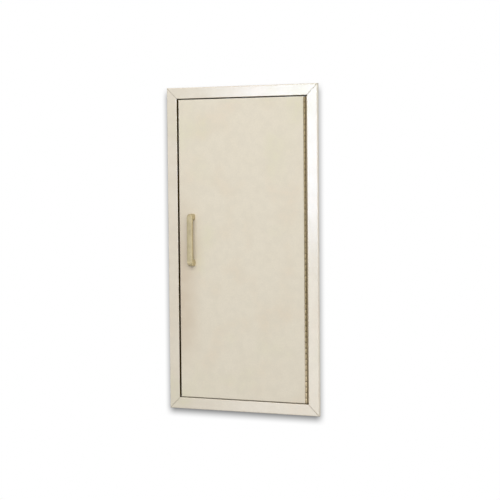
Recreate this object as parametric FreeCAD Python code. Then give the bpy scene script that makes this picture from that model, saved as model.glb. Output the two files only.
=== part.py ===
import FreeCAD, Part
import math
import os

# Recessed wall cabinet with a flush steel door, in millimetres.
# Frame: +X to the right seen from the room, +Y into the wall, +Z up.
# The origin lies on the wall plane, at mid width, on the lower edge of the trim.

# Tub, folded from thin sheet and let into the wall
TUB_WIDTH = 304.8
TUB_HEIGHT = 685.8
TUB_DEPTH = 139.7
TUB_SHEET = 0.9
TUB_BEND = 0.7
TUB_FLANGE = 9.5
SEAM_FLANGE = 12.0
SEAM_PLAY = 0.05
FLANGE_RELIEF = 3.0
ANCHOR_RADIUS = 3.2
ANCHOR_END = 82.9

# Trim frame, four mitred folded lengths with a stop turned in behind the door
STOP_WIDTH = 11.7
STOP_GAP = 1.5
TRIM_FACE = 26.4
TRIM_PROJECTION = 7.9
TRIM_SHEET = 1.2
TRIM_BEND = 0.6
MITRE_SEAM = 0.3
BRACE_SHEET = 1.5
BRACE_LEG = 62.0
BRACE_MARGIN = 0.4

# Door, a folded face pan closed by a back panel
DOOR_THICKNESS = 15.9
DOOR_SHEET = 0.9
DOOR_BEND = 1.0
LATCH_REVEAL = 3.4
TOP_REVEAL = 2.4
BOTTOM_REVEAL = 2.0
BACK_SHEET = 0.8
BACK_FLANGE = 5.0
BACK_FIT = 0.2

# Continuous hinge: pin, rolled knuckles and two leaves
PIN_RADIUS = 1.2
PIN_CLEARANCE = 0.05
LEAF_SHEET = 1.1
LEAF_SETBACK = 2.9
CURL_ANGLE = 280.0
CURL_FLATS = 8
KNUCKLE_PITCH = 12.7
KNUCKLE_GAP = 0.3
NOTCH_CLEARANCE = 0.65
HINGE_END_GAP = 0.4
PACKING = 3.0
PACKING_CLEARANCE = 1.05

# Cast C pull near the latch edge
PULL_LENGTH = 123.0
PULL_WIDTH = 14.3
PULL_PROJECTION = 18.0
PULL_BAR = 8.0
PULL_FOOT = 15.0
PULL_OUTER_RADIUS = 9.0
PULL_INNER_RADIUS = 5.0
PULL_EDGE = 3.8
PULL_BACK_EDGE = 0.8
PULL_EDGE_SHARE = 0.45
PULL_INSET = 34.1
PULL_RISE = 22.0

# Roller catch inside the tub and its strike on the door
CATCH_WIDTH = 12.0
CATCH_SHEET = 1.2
CATCH_BEND = 0.8
CATCH_SETBACK = 8.0
CATCH_LENGTH = 20.0
CATCH_HEIGHT = 44.0
ROLLER_RADIUS = 4.0
ROLLER_SETBACK = 6.0
ROLLER_END_PLAY = 0.3
AXLE_RADIUS = 1.5
AXLE_CLEARANCE = 0.05
AXLE_PROUD = 0.8
ROLLER_CHAMFER = 0.7
STRIKE_SHEET = 1.2
STRIKE_LENGTH = 26.0
STRIKE_HEIGHT = 10.0
STRIKE_SIDE_PLAY = 0.5
BULB_RADIUS = 2.5
BULB_SETBACK = 3.0
BULB_CLEARANCE = 0.3
NECK_SHEET = 1.6

# Rubber door bumpers
BUMPER_RADIUS = 4.0
BUMPER_PLAY = 0.3
BUMPER_CHAMFER = 0.4
BUMPER_END = 42.9

# How far a cutting shape runs past what it cuts, and how close two places count as one
CUT_MARGIN = 1.0
SAME_PLACE = 1e-6

# Places worked out from the sizes above
OPENING_WIDTH = TUB_WIDTH + 2 * STOP_WIDTH
OPENING_HEIGHT = TUB_HEIGHT + 2 * STOP_WIDTH
TRIM_WIDTH = OPENING_WIDTH + 2 * TRIM_FACE
TRIM_HEIGHT = OPENING_HEIGHT + 2 * TRIM_FACE
MID_HEIGHT = TRIM_HEIGHT / 2
FACE_Y = -TRIM_PROJECTION
DOOR_BACK_Y = FACE_Y + DOOR_THICKNESS
STOP_Y = DOOR_BACK_Y + STOP_GAP
TUB_FRONT_Y = STOP_Y + TRIM_SHEET
SEAM_GAP = TUB_BEND * (1 - math.sqrt(0.5)) + SEAM_PLAY
TUB_LEFT = -TUB_WIDTH / 2
TUB_BOTTOM = TRIM_FACE + STOP_WIDTH
TUB_TOP = TUB_BOTTOM + TUB_HEIGHT
KNUCKLE_RADIUS = PIN_RADIUS + PIN_CLEARANCE + LEAF_SHEET
LEAF_DEPTH = DOOR_THICKNESS - LEAF_SETBACK
HINGE_X = OPENING_WIDTH / 2 - PACKING - KNUCKLE_RADIUS
DOOR_LEFT = -OPENING_WIDTH / 2 + LATCH_REVEAL
DOOR_RIGHT = HINGE_X - KNUCKLE_RADIUS
DOOR_BOTTOM = TRIM_FACE + BOTTOM_REVEAL
DOOR_TOP = TRIM_HEIGHT - TRIM_FACE - TOP_REVEAL
HINGE_BOTTOM = DOOR_BOTTOM + HINGE_END_GAP
HINGE_LENGTH = DOOR_TOP - HINGE_END_GAP - HINGE_BOTTOM
KNUCKLE_COUNT = 2 * int((HINGE_LENGTH / KNUCKLE_PITCH - 1) / 2) + 1
KNUCKLE_STEP = HINGE_LENGTH / KNUCKLE_COUNT
PULL_X = DOOR_LEFT + PULL_INSET
PULL_HEIGHT = MID_HEIGHT + PULL_RISE
CATCH_FRONT = DOOR_BACK_Y + CATCH_SETBACK
ROLLER_Y = CATCH_FRONT + ROLLER_SETBACK
ROLLER_OFFSET = BULB_RADIUS + BULB_CLEARANCE + ROLLER_RADIUS
CATCH_MID_X = TUB_LEFT + CATCH_WIDTH / 2
CATCH_INSIDE = CATCH_WIDTH - 2 * CATCH_SHEET


def vec(x, y, z):
    return FreeCAD.Vector(x, y, z)


def box(x0, x1, y0, y1, z0, z1):
    return Part.makeBox(x1 - x0, y1 - y0, z1 - z0, vec(x0, y0, z0))


def rod(start, direction, radius, length):
    return Part.makeCylinder(radius, length, start, direction)


def unit(start, end):
    length = math.hypot(end[0] - start[0], end[1] - start[1])
    return ((end[0] - start[0]) / length, (end[1] - start[1]) / length)


def end_of(step):
    return step[1] if isinstance(step[0], tuple) else step


def outline(steps, at):
    """Closed wire through steps: a pair ends a straight run, a pair of pairs is an arc's middle and end."""
    edges = []
    here = steps[0]
    for step in steps[1:]:
        if isinstance(step[0], tuple):
            edges.append(Part.Arc(at(*here), at(*step[0]), at(*step[1])).toShape())
        else:
            edges.append(Part.makeLine(at(*here), at(*step)))
        here = end_of(step)
    if math.dist(here, steps[0]) > SAME_PLACE:
        edges.append(Part.makeLine(at(*here), at(*steps[0])))
    return Part.Wire(edges)


def prism(steps, at, along):
    return Part.Face(outline(steps, at)).extrude(along)


def backwards(steps):
    """The same straight runs and arcs, walked from the last step to the first."""
    walked = [end_of(steps[-1])]
    for index in range(len(steps) - 1, 0, -1):
        target = end_of(steps[index - 1])
        is_arc = isinstance(steps[index][0], tuple)
        walked.append((steps[index][0], target) if is_arc else target)
    return walked


def folded(corners, sheet, bend, at, along):
    """Length of folded sheet: its mid line turns at each corner, on an inner radius of bend."""
    mid_radius = bend + sheet / 2
    turns = []
    for before, corner, after in zip(corners, corners[1:], corners[2:]):
        way_in = unit(before, corner)
        way_out = unit(corner, after)
        cross = way_in[0] * way_out[1] - way_in[1] * way_out[0]
        dot = way_in[0] * way_out[0] + way_in[1] * way_out[1]
        side = math.copysign(1.0, cross)
        run = mid_radius * math.tan(math.atan2(abs(cross), dot) / 2)
        centre = (corner[0] - way_in[0] * run - way_in[1] * side * mid_radius,
                  corner[1] - way_in[1] * run + way_in[0] * side * mid_radius)
        turns.append((way_in, way_out, centre, unit(centre, corner), side))
    first = unit(corners[0], corners[1])
    last = unit(corners[-2], corners[-1])

    def skin(offset):
        steps = [(corners[0][0] - first[1] * offset, corners[0][1] + first[0] * offset)]
        for way_in, way_out, centre, outward, side in turns:
            radius = mid_radius - side * offset
            spokes = ((way_in[1] * side, -way_in[0] * side), outward,
                      (way_out[1] * side, -way_out[0] * side))
            start, middle, end = [(centre[0] + s[0] * radius, centre[1] + s[1] * radius) for s in spokes]
            steps += [start, (middle, end)]
        steps.append((corners[-1][0] - last[1] * offset, corners[-1][1] + last[0] * offset))
        return steps

    return prism(skin(sheet / 2) + backwards(skin(-sheet / 2)), at, along)


def turned(steps, start, direction):
    """Solid of revolution: steps are pairs of radius and distance along direction from start."""
    profile = Part.Face(outline(steps, lambda radius, run: vec(radius, 0, run)))
    solid = profile.revolve(vec(0, 0, 0), vec(0, 0, 1), 360)
    turn = FreeCAD.Rotation(vec(0, 0, 1), direction)
    solid.transformShape(FreeCAD.Placement(start, turn).toMatrix())
    return solid


def rounded_block(x0, x1, z0, z1, y_crown, y_open, radius):
    """Block whose four edges around the face at y_crown are rounded."""
    inward = math.copysign(radius, y_open - y_crown)
    slack = radius * (1 - math.sqrt(0.5))
    rise = math.copysign(slack, y_open - y_crown)

    def arch(low, high):
        near_middle = (low + slack, y_crown + rise)
        far_middle = (high - slack, y_crown + rise)
        return [(low, y_open), (low, y_crown + inward), (near_middle, (low + radius, y_crown)),
                (high - radius, y_crown), (far_middle, (high, y_crown + inward)), (high, y_open)]

    across = prism(arch(x0, x1), lambda x, y: vec(x, y, z0), vec(0, 0, z1 - z0))
    upright = prism(arch(z0, z1), lambda z, y: vec(x0, y, z), vec(x1 - x0, 0, 0))
    return across.common(upright)


def tray(x0, x1, z0, z1, y_face, y_rim, sheet, bend):
    """Sheet pan: a face at y_face with four walls that run to y_rim."""
    inward = math.copysign(sheet, y_rim - y_face)
    outside = rounded_block(x0, x1, z0, z1, y_face, y_rim, bend + sheet)
    inside = rounded_block(x0 + sheet, x1 - sheet, z0 + sheet, z1 - sheet, y_face + inward,
                           y_rim + inward, bend)
    return outside.cut(inside)


# Trim: outer return, face, jamb and the stop that the door closes against
def trim_section():
    mid = TRIM_SHEET / 2
    return [(TRIM_FACE - mid, 0.0), (TRIM_FACE - mid, FACE_Y + mid), (mid, FACE_Y + mid),
            (mid, STOP_Y + mid), (-STOP_WIDTH, STOP_Y + mid)]


def mitre_wedge(half, at):
    """Prism between the two mitre planes of a length whose outer edge is 2 * half long."""
    slack = MITRE_SEAM / 2 * math.sqrt(2)
    reach = TRIM_FACE + STOP_WIDTH + CUT_MARGIN
    steps = [(-half - CUT_MARGIN + slack, -CUT_MARGIN), (half + CUT_MARGIN - slack, -CUT_MARGIN),
             (half - reach - slack, reach), (-half + reach + slack, reach)]
    return prism(steps, at, vec(0, TUB_FRONT_Y - FACE_Y + 2 * CUT_MARGIN, 0))


def trim_rail(is_top):
    """Top or bottom length of the trim, cut to its mitres."""
    edge = TRIM_HEIGHT if is_top else 0.0
    inward = -1 if is_top else 1
    start = -TRIM_WIDTH / 2
    length = folded(trim_section(), TRIM_SHEET, TRIM_BEND,
                    lambda u, v: vec(start, v, edge + inward * (TRIM_FACE - u)), vec(TRIM_WIDTH, 0, 0))
    wedge = mitre_wedge(TRIM_WIDTH / 2, lambda s, r: vec(s, FACE_Y - CUT_MARGIN, edge + inward * r))
    return length.common(wedge)


def trim_stile(side):
    """Left or right length of the trim, cut to its mitres."""
    edge = side * TRIM_WIDTH / 2
    length = folded(trim_section(), TRIM_SHEET, TRIM_BEND,
                    lambda u, v: vec(edge - side * (TRIM_FACE - u), v, 0), vec(0, 0, TRIM_HEIGHT))
    wedge = mitre_wedge(TRIM_HEIGHT / 2,
                        lambda s, r: vec(edge - side * r, FACE_Y - CUT_MARGIN, MID_HEIGHT + s))
    return length.common(wedge)


def corner_brace(side, is_top):
    """Flat angle plate welded behind the face across one mitre."""
    margin = TRIM_SHEET + TRIM_BEND + BRACE_MARGIN
    arm = TRIM_FACE - margin
    end = margin + BRACE_LEG
    steps = [(margin, margin), (end, margin), (end, arm), (arm, arm), (arm, end), (margin, end)]

    def at(p, q):
        z = TRIM_HEIGHT - q if is_top else q
        return vec(side * (TRIM_WIDTH / 2 - p), FACE_Y + TRIM_SHEET, z)

    return prism(steps, at, vec(0, BRACE_SHEET, 0))


# Tub: one wrapper for the sides and back, closed by a folded panel at each end
def anchor_places():
    mid_y = (TUB_FRONT_Y + TUB_DEPTH) / 2
    return [(mid_y, TUB_BOTTOM + ANCHOR_END), (mid_y, TUB_TOP - ANCHOR_END)]


def tub_wrapper():
    mid = TUB_SHEET / 2
    side_x = TUB_WIDTH / 2 + mid
    front = TUB_FRONT_Y + mid
    back = TUB_DEPTH + mid
    corners = [(-side_x - TUB_FLANGE, front), (-side_x, front), (-side_x, back),
               (side_x, back), (side_x, front), (side_x + TUB_FLANGE, front)]
    shell = folded(corners, TUB_SHEET, TUB_BEND, lambda x, y: vec(x, y, TUB_BOTTOM),
                   vec(0, 0, TUB_HEIGHT))
    half = TUB_WIDTH / 2 + TUB_SHEET + CUT_MARGIN
    anchors = [rod(vec(-half, y, z), vec(1, 0, 0), ANCHOR_RADIUS, 2 * half) for y, z in anchor_places()]
    return shell.cut(anchors)


def tub_end_panel(is_top):
    """Top or bottom panel: a flange up the back of the stop, seam flanges over the sides and back."""
    out = 1 if is_top else -1
    mid = TUB_SHEET / 2
    level = (TUB_TOP if is_top else TUB_BOTTOM) + out * (SEAM_GAP + mid)
    half = TUB_WIDTH / 2 + TUB_SHEET + SEAM_GAP
    back = TUB_DEPTH + TUB_SHEET + SEAM_GAP + mid
    front = TUB_FRONT_Y + mid
    rise = level + out * TUB_FLANGE
    drop = level - out * SEAM_FLANGE
    plate = folded([(front, rise), (front, level), (back, level), (back, drop)], TUB_SHEET, TUB_BEND,
                   lambda y, z: vec(-half + FLANGE_RELIEF, y, z), vec(2 * (half - FLANGE_RELIEF), 0, 0))
    side = half + mid
    cheeks = folded([(-side, drop), (-side, level), (side, level), (side, drop)], TUB_SHEET, TUB_BEND,
                    lambda x, z: vec(x, TUB_FRONT_Y + FLANGE_RELIEF, z),
                    vec(0, TUB_DEPTH - TUB_FRONT_Y - 2 * FLANGE_RELIEF, 0))
    return plate.fuse(cheeks).removeSplitter()


# Door: a face pan closed from behind by a back panel
def door_face_pan():
    return tray(DOOR_LEFT, DOOR_RIGHT, DOOR_BOTTOM, DOOR_TOP, FACE_Y, DOOR_BACK_Y, DOOR_SHEET, DOOR_BEND)


def door_back_panel():
    inset = DOOR_SHEET + BACK_FIT
    return tray(DOOR_LEFT + inset, DOOR_RIGHT - inset, DOOR_BOTTOM + inset, DOOR_TOP - inset,
                DOOR_BACK_Y, DOOR_BACK_Y - BACK_FLANGE, BACK_SHEET, BACK_SHEET)


# Continuous hinge on the right: both leaves are curled round one pin, knuckle between knuckle.
# Its knuckles are a trifle longer than their pitch, so that a whole number fills the door's height.
def hinge_leaf(side):
    """Leaf with its curl: side -1 lies on the door, side 1 on the frame, which has one knuckle more."""
    bore = KNUCKLE_RADIUS - LEAF_SHEET
    flat = math.radians(CURL_ANGLE) / CURL_FLATS
    corner = bore / math.cos(flat / 2)
    outer = [(KNUCKLE_RADIUS * math.cos(k * flat), -KNUCKLE_RADIUS * math.sin(k * flat))
             for k in range(CURL_FLATS + 1)]
    inner = [(corner * math.cos(k * flat), -corner * math.sin(k * flat))
             for k in range(CURL_FLATS, 0, -1)]
    steps = [(KNUCKLE_RADIUS, LEAF_DEPTH)] + outer + inner + [(bore, 0.0), (bore, LEAF_DEPTH)]
    leaf = prism(steps, lambda a, b: vec(HINGE_X + side * a, FACE_Y + b, HINGE_BOTTOM),
                 vec(0, 0, HINGE_LENGTH))
    reach = KNUCKLE_RADIUS + CUT_MARGIN
    notch_end = FACE_Y + KNUCKLE_RADIUS + NOTCH_CLEARANCE
    first = 0 if side < 0 else 1
    notches = [box(HINGE_X - reach, HINGE_X + reach, FACE_Y - reach, notch_end,
                   HINGE_BOTTOM + index * KNUCKLE_STEP - KNUCKLE_GAP / 2,
                   HINGE_BOTTOM + (index + 1) * KNUCKLE_STEP + KNUCKLE_GAP / 2)
               for index in range(first, KNUCKLE_COUNT, 2)]
    return leaf.cut(notches)


def hinge_pin():
    return rod(vec(HINGE_X, FACE_Y, HINGE_BOTTOM), vec(0, 0, 1), PIN_RADIUS, HINGE_LENGTH)


def hinge_packing_strip():
    front = FACE_Y + KNUCKLE_RADIUS + PACKING_CLEARANCE
    return box(HINGE_X + KNUCKLE_RADIUS, OPENING_WIDTH / 2, front, FACE_Y + LEAF_DEPTH,
               HINGE_BOTTOM, HINGE_BOTTOM + HINGE_LENGTH)


# Pull: one casting, screwed on from inside the door
def corner_arc(corner, before, after, radius):
    """Steps that turn a right-angled corner on an arc; before and after are unit steps to and from it."""
    slack = radius * (1 - math.sqrt(0.5))
    start = (corner[0] - before[0] * radius, corner[1] - before[1] * radius)
    end = (corner[0] + after[0] * radius, corner[1] + after[1] * radius)
    middle = (corner[0] + (after[0] - before[0]) * slack, corner[1] + (after[1] - before[1]) * slack)
    return [start, (middle, end)]


def pull_handle():
    """C shape, rounded along its front and outer sides and only broken along its inner edges."""
    half = PULL_LENGTH / 2
    gap = half - PULL_FOOT
    out = -PULL_PROJECTION
    under = out + PULL_BAR
    steps = [(0.0, -half)] + corner_arc((out, -half), (-1, 0), (0, 1), PULL_OUTER_RADIUS)
    steps += corner_arc((out, half), (0, 1), (1, 0), PULL_OUTER_RADIUS)
    steps += [(0.0, half), (0.0, gap)]
    steps += corner_arc((under, gap), (-1, 0), (0, -1), PULL_INNER_RADIUS)
    steps += corner_arc((under, -gap), (0, -1), (1, 0), PULL_INNER_RADIUS)
    steps += [(0.0, -gap)]
    side = PULL_X - PULL_WIDTH / 2
    blank = prism(steps, lambda y, z: vec(side, FACE_Y + y, PULL_HEIGHT + z), vec(PULL_WIDTH, 0, 0))
    edge = min(PULL_EDGE, PULL_EDGE_SHARE * min(PULL_BAR, PULL_FOOT, PULL_WIDTH))

    def long_edges(shape, are_inner):
        lying = [e for e in shape.Edges if e.BoundBox.XLength < SAME_PLACE
                 and e.BoundBox.YMin < FACE_Y - SAME_PLACE]
        return [e for e in lying
                if are_inner == (e.BoundBox.YMin > FACE_Y + under - SAME_PLACE
                                 and abs(e.CenterOfMass.z - PULL_HEIGHT) < gap + SAME_PLACE)]

    rounded = blank.makeFillet(edge, long_edges(blank, False))
    return rounded.makeChamfer(PULL_BACK_EDGE, long_edges(rounded, True))


# Roller catch on the left wall of the tub, at the height of the pull
def roller_heights():
    return (PULL_HEIGHT - ROLLER_OFFSET, PULL_HEIGHT + ROLLER_OFFSET)


def catch_bracket():
    mid = CATCH_SHEET / 2
    near = TUB_LEFT + mid
    far = TUB_LEFT + CATCH_WIDTH - mid
    back = CATCH_FRONT + CATCH_LENGTH - mid
    channel = folded([(near, CATCH_FRONT), (near, back), (far, back), (far, CATCH_FRONT)],
                     CATCH_SHEET, CATCH_BEND,
                     lambda x, y: vec(x, y, PULL_HEIGHT - CATCH_HEIGHT / 2), vec(0, 0, CATCH_HEIGHT))
    axle_holes = [rod(vec(TUB_LEFT, ROLLER_Y, z), vec(1, 0, 0), AXLE_RADIUS + AXLE_CLEARANCE, CATCH_WIDTH)
                  for z in roller_heights()]
    return channel.cut(axle_holes)


def catch_roller(z):
    """Roller with chamfered rims, free on its axle between the bracket's cheeks."""
    half = CATCH_INSIDE / 2 - ROLLER_END_PLAY
    bore = AXLE_RADIUS + AXLE_CLEARANCE
    rim = ROLLER_RADIUS - ROLLER_CHAMFER
    steps = [(bore, -half), (rim, -half), (ROLLER_RADIUS, -half + ROLLER_CHAMFER),
             (ROLLER_RADIUS, half - ROLLER_CHAMFER), (rim, half), (bore, half)]
    return turned(steps, vec(CATCH_MID_X, ROLLER_Y, z), vec(1, 0, 0))


def catch_axles():
    return Part.makeCompound([rod(vec(TUB_LEFT, ROLLER_Y, z), vec(1, 0, 0), AXLE_RADIUS,
                                  CATCH_WIDTH + AXLE_PROUD) for z in roller_heights()])


def catch_strike():
    """Foot plate on the door's back with a tongue whose bulb passes between the rollers."""
    neck = NECK_SHEET / 2
    foot = STRIKE_HEIGHT / 2
    top = DOOR_BACK_Y + STRIKE_SHEET
    bulb_y = ROLLER_Y + BULB_SETBACK
    root = bulb_y - math.sqrt(BULB_RADIUS ** 2 - neck ** 2)
    steps = [(DOOR_BACK_Y, -foot), (DOOR_BACK_Y, foot), (top, foot), (top, neck), (root, neck),
             ((bulb_y + BULB_RADIUS, 0.0), (root, -neck)), (top, -neck), (top, -foot)]
    left = TUB_LEFT + CATCH_SHEET + STRIKE_SIDE_PLAY
    width = CATCH_INSIDE - 2 * STRIKE_SIDE_PLAY
    tongue = prism(steps, lambda y, z: vec(left, y, PULL_HEIGHT + z), vec(width, 0, 0))
    right = left + STRIKE_LENGTH - foot
    tab = prism([(left, -foot), (right, -foot), ((right + foot, 0.0), (right, foot)), (left, foot)],
                lambda x, z: vec(x, DOOR_BACK_Y, PULL_HEIGHT + z), vec(0, STRIKE_SHEET, 0))
    return tongue.fuse(tab).removeSplitter()


def door_bumper(z):
    """Round rubber button on the stop, just clear of the closed door."""
    height = STOP_GAP - BUMPER_PLAY
    steps = [(0.0, 0.0), (BUMPER_RADIUS, 0.0), (BUMPER_RADIUS, height - BUMPER_CHAMFER),
             (BUMPER_RADIUS - BUMPER_CHAMFER, height), (0.0, height)]
    return turned(steps, vec(TUB_LEFT - STOP_WIDTH / 2, STOP_Y, z), vec(0, -1, 0))


pieces = {
    "trim_top_rail": trim_rail(True),
    "trim_bottom_rail": trim_rail(False),
    "trim_left_stile": trim_stile(-1),
    "trim_right_stile": trim_stile(1),
    "tub_wrapper": tub_wrapper(),
    "tub_top_panel": tub_end_panel(True),
    "tub_bottom_panel": tub_end_panel(False),
    "door_face_pan": door_face_pan(),
    "door_back_panel": door_back_panel(),
    "hinge_door_leaf": hinge_leaf(-1),
    "hinge_frame_leaf": hinge_leaf(1),
    "hinge_pin": hinge_pin(),
    "hinge_packing_strip": hinge_packing_strip(),
    "pull_handle": pull_handle(),
    "catch_bracket": catch_bracket(),
    "catch_axles": catch_axles(),
    "catch_strike": catch_strike(),
}
for height_name, is_top in (("top", True), ("bottom", False)):
    for side_name, side in (("left", -1), ("right", 1)):
        pieces[f"corner_brace_{height_name}_{side_name}"] = corner_brace(side, is_top)
for name, z in zip(("catch_lower_roller", "catch_upper_roller"), roller_heights()):
    pieces[name] = catch_roller(z)
pieces["door_bumper_lower"] = door_bumper(TUB_BOTTOM + BUMPER_END)
pieces["door_bumper_upper"] = door_bumper(TUB_TOP - BUMPER_END)

os.makedirs("parts", exist_ok=True)
for name, shape in pieces.items():
    shape.exportStep(f"parts/{name}.step")
    print(name, len(shape.Solids), round(shape.Volume), shape.isValid())
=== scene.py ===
import math

import bmesh
import bpy
import numpy as np
from mathutils import Matrix, Vector


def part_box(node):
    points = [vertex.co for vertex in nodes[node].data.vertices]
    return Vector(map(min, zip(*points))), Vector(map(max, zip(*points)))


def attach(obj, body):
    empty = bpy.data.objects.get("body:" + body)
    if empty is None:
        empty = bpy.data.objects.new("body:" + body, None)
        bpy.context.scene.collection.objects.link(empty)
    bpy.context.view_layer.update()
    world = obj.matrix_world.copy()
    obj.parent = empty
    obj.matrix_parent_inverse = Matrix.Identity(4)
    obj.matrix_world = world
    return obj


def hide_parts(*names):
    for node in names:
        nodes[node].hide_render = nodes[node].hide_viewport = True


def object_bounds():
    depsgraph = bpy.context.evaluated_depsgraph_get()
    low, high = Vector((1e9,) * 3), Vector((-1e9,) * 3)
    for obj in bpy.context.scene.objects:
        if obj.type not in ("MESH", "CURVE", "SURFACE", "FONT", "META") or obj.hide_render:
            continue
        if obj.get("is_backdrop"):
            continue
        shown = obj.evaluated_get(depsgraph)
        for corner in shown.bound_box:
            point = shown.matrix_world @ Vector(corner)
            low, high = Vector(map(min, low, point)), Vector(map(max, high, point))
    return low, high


# Recessed wall cabinet with a flush steel door. Metres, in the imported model's frame:
# +X to the right seen from the room, +Y into the wall, +Z up.
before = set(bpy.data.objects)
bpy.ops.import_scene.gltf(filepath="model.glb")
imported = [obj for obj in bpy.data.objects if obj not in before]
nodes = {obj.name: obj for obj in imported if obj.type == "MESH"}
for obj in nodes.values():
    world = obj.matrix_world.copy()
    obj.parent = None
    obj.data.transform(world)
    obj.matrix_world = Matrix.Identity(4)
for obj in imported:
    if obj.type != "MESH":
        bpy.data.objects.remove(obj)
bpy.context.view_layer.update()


# Tub: the box that goes into the wall, folded from thin sheet steel, its end panels lapped
# over the sides and back and spot welded there. It is sprayed all over with a matt cream coat.
def node(tree, kind, inputs=(), **settings):
    """New shader node: inputs gives each socket a value or another node's output."""
    made = tree.nodes.new(kind)
    for key, value in settings.items():
        setattr(made, key, value)
    for key, value in dict(inputs).items():
        if isinstance(value, bpy.types.NodeSocket):
            tree.links.new(value, made.inputs[key])
        else:
            made.inputs[key].default_value = value
    return made


def maths(tree, operation, a, b=0.0):
    """One step of arithmetic on two values."""
    return node(tree, "ShaderNodeMath", {0: a, 1: b}, operation=operation).outputs[0]


def product(tree, first, *others):
    """First value times each of the others."""
    for other in others:
        first = maths(tree, "MULTIPLY", first, other)
    return first


def away(tree, value, centre):
    """Distance from the centre: the difference without its sign."""
    return maths(tree, "ABSOLUTE", maths(tree, "SUBTRACT", value, centre))


def ramp(tree, value, start, end, low=0.0, high=1.0):
    """Runs smoothly from low to high while value goes from start to end."""
    made = node(tree, "ShaderNodeMapRange", {0: value, 1: start, 2: end, 3: low, 4: high},
                interpolation_type="SMOOTHSTEP")
    return made.outputs[0]


def blend(tree, factor, first, second):
    """Colour that goes from first to second with the factor."""
    made = node(tree, "ShaderNodeMix", {0: factor}, data_type="RGBA")
    for socket, colour in ((made.inputs[6], first), (made.inputs[7], second)):
        if isinstance(colour, bpy.types.NodeSocket):
            tree.links.new(colour, socket)
        else:
            socket.default_value = (*colour, 1.0)
    return made.outputs[2]


def cloud(tree, where, size, detail=2.0, stretch=(1, 1, 1), offset=0.0):
    """Noise from 0 to 1 whose patches are about size metres across, longer where stretch is over 1."""
    scale = [1 / (size * s) for s in stretch]
    placed = node(tree, "ShaderNodeMapping", {0: where, 1: (offset, offset, offset), 3: scale})
    made = node(tree, "ShaderNodeTexNoise", {"Vector": placed.outputs[0], "Scale": 1.0, "Detail": detail})
    return made.outputs["Fac"]


def patches(tree, where, size, start, end, low=0.0, high=1.0, detail=3.0, offset=0.0):
    """Cloud cut into patches: it runs from low to high while the noise goes from start to end."""
    return ramp(tree, cloud(tree, where, size, detail, offset=offset), start, end, low, high)


def edge_distance(tree, where, low, high):
    """Distance to a box's nearest edge: the middle one of the distances to its faces on X, Y and Z."""
    split = node(tree, "ShaderNodeSeparateXYZ", {0: where})
    gaps = [away(tree, away(tree, split.outputs[axis], (low[axis] + high[axis]) / 2),
                 (high[axis] - low[axis]) / 2) for axis in range(3)]
    nearer = maths(tree, "MINIMUM", gaps[0], gaps[1])
    farther = maths(tree, "MAXIMUM", gaps[0], gaps[1])
    return maths(tree, "MAXIMUM", nearer, maths(tree, "MINIMUM", farther, gaps[2]))


def finish_of(name):
    """New material with its tree, its shader and the Object coordinates."""
    material = bpy.data.materials.new(name)
    material.use_nodes = True
    tree = material.node_tree
    where = node(tree, "ShaderNodeTexCoord").outputs["Object"]
    return material, tree, tree.nodes["Principled BSDF"], where


# Tones of the enamel, as factors on its own colour, the lightest that it gets, and its painted gap shade
PINKISH = (0.985, 0.95, 0.92)
GREENISH = (0.95, 0.975, 0.90)
MOTTLED = 0.93
SPECKLED = 0.86
# Pale edge tone: partly rubbed wear and partly a painted highlight where the bends catch light
RUBBED_AND_HIGHLIT_PALE = (1.16, 1.18, 1.22)
LIGHTEST = 0.93
DUSTY = (0.42, 0.38, 0.32)
HANDLED = (0.83, 0.77, 0.72)
# Dark brown of the painted shade in the door gap, dull and metallic so that it hardly reflects
GAP_SHADE_BROWN = np.array((0.050, 0.031, 0.006))
GAP_SHADE_ROUGHNESS = 0.8
# Sizes of its patches, grain, rubbed and highlit edges, dusty seams and painted gap shade
PINK_PATCH, GREEN_PATCH = 0.09, 0.13
MOTTLE, SPECKLE, ORANGE_PEEL = 0.018, 0.004, 0.0022
RUB_AND_HIGHLIGHT_PATCH, DULL_PATCH, HAND_PATCH, GAP_SHADE_PATCH = 0.035, 0.05, 0.03, 0.016
RUBBED_AND_HIGHLIT_EDGE = 0.0012
SEAM_REACH = (0.0018, 0.0006)
JAMB_REACH = (0.0011, 0.0009)
GAP_SHADE_FADE = 2.5


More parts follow.
